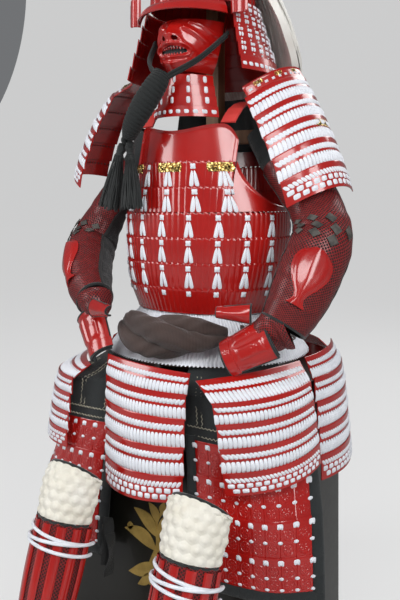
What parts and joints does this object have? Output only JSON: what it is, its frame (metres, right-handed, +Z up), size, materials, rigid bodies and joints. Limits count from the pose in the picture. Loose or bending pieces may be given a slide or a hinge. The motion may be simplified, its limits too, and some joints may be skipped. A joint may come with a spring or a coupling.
{
  "type": "samurai armour on armour box and stand",
  "caption": "Laced red lacquer samurai armour with helmet, fierce mask and hair mantle, seated on its lacquered storage box, on a wooden stand with shin stands.",
  "frame": {"origin": "on the floor, under the middle of the torso, in the plane of the box's underside", "axes": "+Z up; -Y is the front; +X is the wearer's left"},
  "size_m": [0.705, 0.8543, 1.566],
  "materials": {
    "box_lacquer": "satin black-brown lacquer over wood",
    "stand_wood": "oiled wood",
    "red_lacquer": "gloss red lacquer over plate",
    "white_lace": "flat braided cord",
    "brown_silk": "soft woven silk",
    "black_cloth": "quilted cotton",
    "brass": "polished",
    "white_hair": "long combed hair",
    "black_cord": "thick twisted cord",
    "cream_quilting": "quilted doeskin"
  },
  "bodies": {
    "root": {"box_body": "box_lacquer", "box_lid": "box_lacquer", "stand_frame": "stand_wood", "cuirass_front": "red_lacquer", "cuirass_back": "red_lacquer", "chest_rows": "red_lacquer", "back_rows": "red_lacquer", "chest_plate": "red_lacquer", "back_plate": "red_lacquer", "underarm_plate_right": "red_lacquer", "underarm_plate_left": "red_lacquer", "shoulder_strap_right": "red_lacquer", "shoulder_strap_left": "red_lacquer", "waist_lacing": "white_lace", "sash_band": "brown_silk", "sash_twist": "brown_silk", "skirt_front": "red_lacquer", "skirt_front_left": "red_lacquer", "skirt_front_right": "red_lacquer", "skirt_side_left": "red_lacquer", "skirt_side_right": "red_lacquer", "skirt_back_left": "red_lacquer", "skirt_back_right": "red_lacquer", "thigh_apron_right": "black_cloth", "thigh_plates_right": "red_lacquer", "thigh_apron_left": "black_cloth", "thigh_plates_left": "red_lacquer", "sleeve_right": "black_cloth", "forearm_plate_right": "red_lacquer", "hand_plate_right": "red_lacquer", "thumb_plate_right": "red_lacquer", "sleeve_left": "black_cloth", "forearm_plate_left": "red_lacquer", "hand_plate_left": "red_lacquer", "thumb_plate_left": "red_lacquer", "shoulder_guard_right": "red_lacquer", "shoulder_crown_right": "red_lacquer", "shoulder_guard_left": "red_lacquer", "shoulder_crown_left": "red_lacquer", "helmet_bowl": "red_lacquer", "helmet_finial": "brass", "helmet_visor": "red_lacquer", "neck_guard": "red_lacquer", "turnback_right": "red_lacquer", "turnback_left": "red_lacquer", "hair_mantle": "white_hair", "face_mask": "red_lacquer", "throat_guard": "red_lacquer", "chin_cord": "black_cord", "tassel_outer": "black_cord", "tassel_inner": "black_cord", "shin_guard_right": "red_lacquer", "knee_pad_right": "cream_quilting", "shin_stand_right": "stand_wood", "shin_guard_left": "red_lacquer", "knee_pad_left": "cream_quilting", "shin_stand_left": "stand_wood"}
  },
  "joints": []
}
